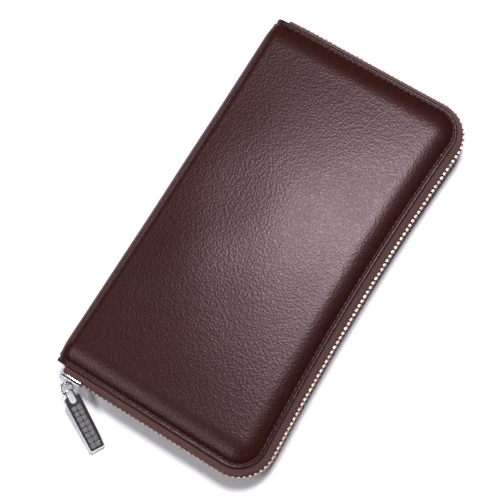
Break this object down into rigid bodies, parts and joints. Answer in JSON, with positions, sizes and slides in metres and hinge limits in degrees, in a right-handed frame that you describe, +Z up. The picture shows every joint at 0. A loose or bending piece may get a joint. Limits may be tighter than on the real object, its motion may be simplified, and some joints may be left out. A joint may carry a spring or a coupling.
{
  "type": "zip around wallet",
  "caption": "Long padded wallet closed round three sides by a metal zip; opens like a book on end gussets to card slots and a zipped coin pocket.",
  "frame": {"origin": "centre of the flat face on the back cover that the wallet rests on", "axes": "+X from the spine to the long zip side, +Y along the wallet, +Z up through the front cover"},
  "size_m": [0.1102, 0.2272, 0.025],
  "materials": {
    "cover_leather": "glossy, fine pebble grain",
    "foam": "soft foam",
    "board": "matt stiffening board",
    "lining_cloth": "woven twill",
    "inner_leather": "satin, fine grain",
    "tape_cloth": "ribbed woven tape",
    "zip_teeth_metal": "polished",
    "slider_chrome": "bright polished",
    "pull_inlay": "pressed tile texture"
  },
  "bodies": {
    "back": {"back_cover": "cover_leather", "back_padding": "foam", "back_board": "board", "back_lining": "lining_cloth", "back_zip_tape": "tape_cloth", "back_card_slot_1": "inner_leather", "back_card_slot_2": "inner_leather", "back_card_slot_3": "inner_leather", "back_card_slot_4": "inner_leather", "back_near_gusset": "lining_cloth", "back_far_gusset": "lining_cloth", "back_zip_teeth": "zip_teeth_metal", "back_top_stop": "zip_teeth_metal", "zip_bottom_stop": "zip_teeth_metal"},
    "spine": {"spine_cover": "cover_leather", "spine_lining": "lining_cloth", "coin_pocket_plain_side": "inner_leather", "coin_pocket_zip_side": "inner_leather", "coin_zip_tapes": "tape_cloth", "coin_zip_teeth": "zip_teeth_metal"},
    "front": {"front_cover": "cover_leather", "front_padding": "foam", "front_board": "board", "front_lining": "lining_cloth", "front_zip_tape": "tape_cloth", "front_card_slot_1": "inner_leather", "front_card_slot_2": "inner_leather", "front_card_slot_3": "inner_leather", "front_card_slot_4": "inner_leather", "front_near_gusset": "lining_cloth", "front_far_gusset": "lining_cloth", "front_zip_teeth": "zip_teeth_metal", "front_top_stop": "zip_teeth_metal"},
    "slider": {"zip_slider": "slider_chrome", "slider_crown": "slider_chrome"},
    "link": {"pull_link": "slider_chrome"},
    "tab": {"pull_tab": "slider_chrome", "pull_inlay": "pull_inlay"},
    "coin_slider": {"coin_zip_slider": "slider_chrome", "coin_zip_pull": "slider_chrome"}
  },
  "joints": [
    {"name": "spine_fold", "type": "hinge", "parent": "back", "child": "spine", "pos_m": [-0.047, 0, 0], "axis": [0, -1, 0], "range_deg": [0, 22.5], "deforming": ["back_zip_tape", "back_zip_teeth", "back_near_gusset", "back_far_gusset", "front_zip_tape", "front_zip_teeth", "front_near_gusset", "front_far_gusset"]},
    {"name": "cover_fold", "type": "hinge", "parent": "spine", "child": "front", "pos_m": [-0.047, 0, 0.025], "axis": [0, -1, 0], "range_deg": [0, 22.5]},
    {"name": "zip_travel", "type": "slide", "parent": "back", "child": "slider", "axis": [1, 0, 0], "range_m": [0, 0.074]},
    {"name": "link_turn", "type": "hinge", "parent": "slider", "child": "link", "pos_m": [-0.043, -0.10526, 0.0125], "axis": [0, 0, 1], "range_deg": [-70, 6]},
    {"name": "tab_turn", "type": "hinge", "parent": "link", "child": "tab", "pos_m": [-0.04086, -0.10714, 0.01094], "axis": [-0.5022, -0.862, 0.0685], "range_deg": [-2, 75]},
    {"name": "coin_zip_travel", "type": "slide", "parent": "spine", "child": "coin_slider", "axis": [0, 1, 0], "range_m": [0, 0.14], "deforming": ["coin_zip_teeth"]}
  ],
  "couplings": [
    {"joint": "cover_fold", "follows": "spine_fold", "ratio": 1}
  ]
}
